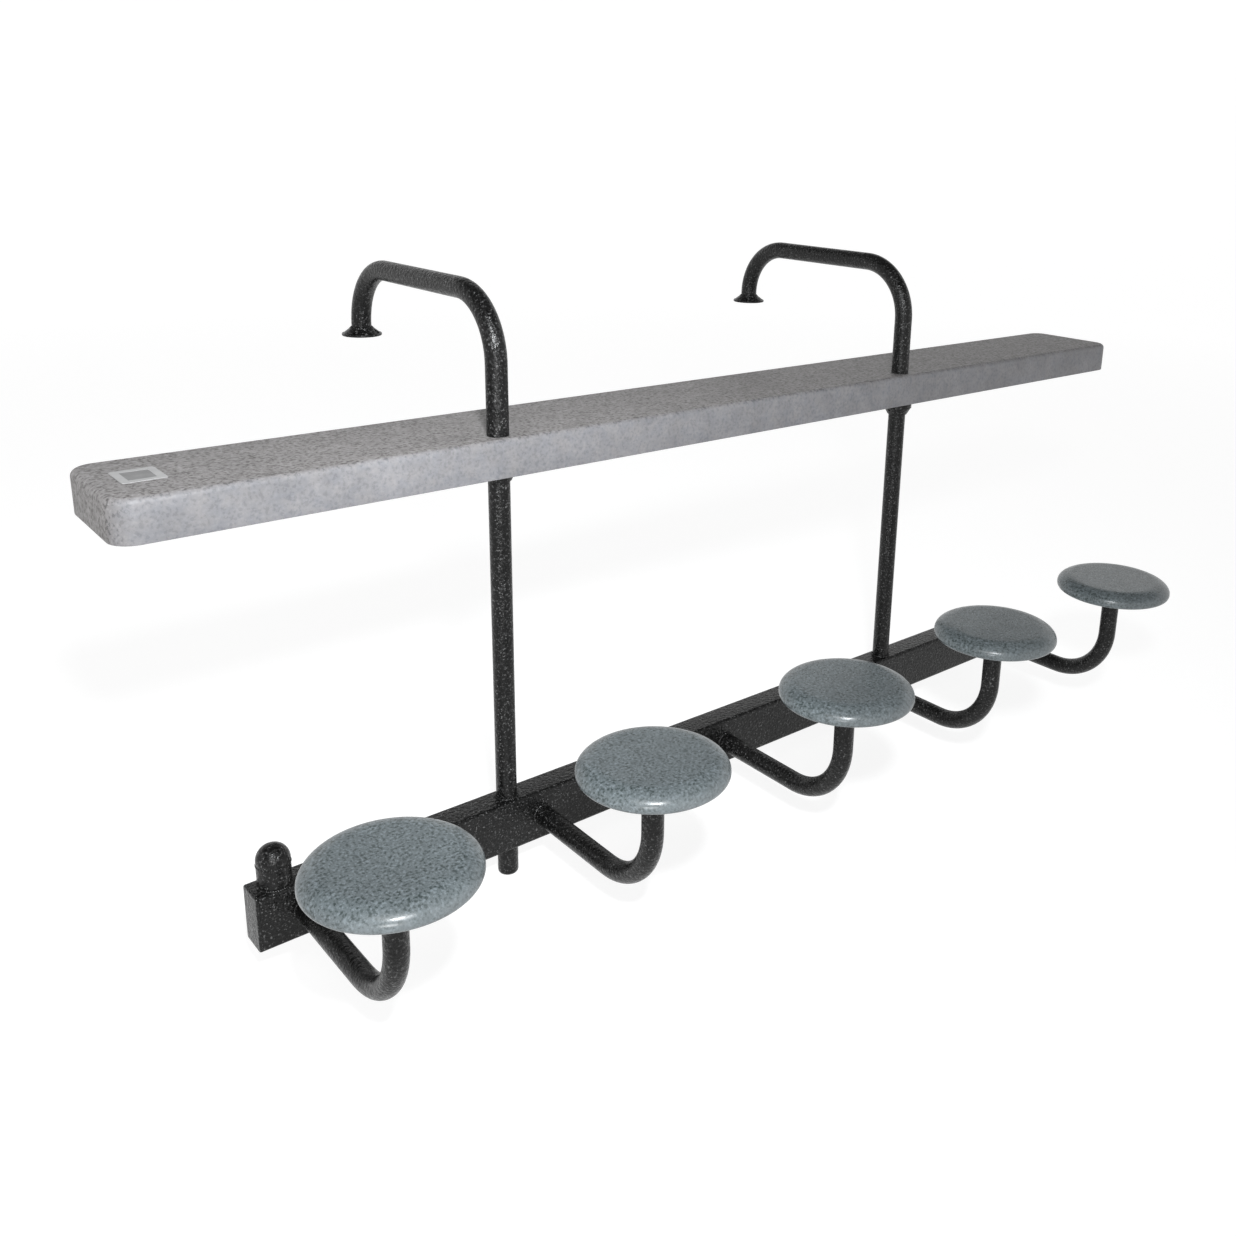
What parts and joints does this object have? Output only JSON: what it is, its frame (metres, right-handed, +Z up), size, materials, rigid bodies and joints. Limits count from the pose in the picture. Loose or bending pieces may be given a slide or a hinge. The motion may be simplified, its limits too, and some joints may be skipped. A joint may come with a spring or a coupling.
{
  "type": "swim-up pool bar with stools",
  "caption": "Long speckled bar top on two black gooseneck posts hung from deck flanges, with a low beam carrying round mushroom stools on bent arms.",
  "frame": {"origin": "centre of the left deck flange, on the deck surface", "axes": "+X along the bar, from the left post to the right one; +Y towards the deck, away from the stools; +Z up"},
  "size_m": [3.29, 1.388, 1.4754],
  "materials": {
    "bar_granite": "semi-gloss, speckled stone look",
    "seat_granite": "semi-gloss, speckled stone look",
    "black_powder_coat": "textured",
    "rail_aluminium": "mill",
    "stainless": "satin",
    "insert_brass": "machined",
    "label_white": "satin",
    "sleeve_plastic": "matte"
  },
  "bodies": {
    "root": {"bar_top_shell": "bar_granite", "bar_underside_panel": "bar_granite", "bar_panel_screws": "stainless", "bar_stiffener_front": "rail_aluminium", "bar_stiffener_rear": "rail_aluminium", "label_plate": "label_white", "bar_sleeve_left": "sleeve_plastic", "bar_sleeve_right": "sleeve_plastic", "bar_collar_left": "black_powder_coat", "bar_collar_right": "black_powder_coat", "collar_set_screws": "stainless", "post_left": "black_powder_coat", "post_right": "black_powder_coat", "post_plug_left": "black_powder_coat", "post_plug_right": "black_powder_coat", "deck_flange_left": "black_powder_coat", "deck_flange_right": "black_powder_coat", "beam": "black_powder_coat", "beam_end_left": "black_powder_coat", "beam_end_right": "black_powder_coat", "end_stub_pipe": "black_powder_coat", "end_stub_cap": "black_powder_coat", "arm_1": "black_powder_coat", "arm_2": "black_powder_coat", "arm_3": "black_powder_coat", "arm_4": "black_powder_coat", "arm_5": "black_powder_coat", "seat_shell_1": "seat_granite", "seat_shell_2": "seat_granite", "seat_shell_3": "seat_granite", "seat_shell_4": "seat_granite", "seat_shell_5": "seat_granite", "seat_pan_1": "seat_granite", "seat_pan_2": "seat_granite", "seat_pan_3": "seat_granite", "seat_pan_4": "seat_granite", "seat_pan_5": "seat_granite", "seat_plate_1": "black_powder_coat", "seat_plate_2": "black_powder_coat", "seat_plate_3": "black_powder_coat", "seat_plate_4": "black_powder_coat", "seat_plate_5": "black_powder_coat", "seat_inserts": "insert_brass", "seat_bolts": "stainless"}
  },
  "joints": []
}
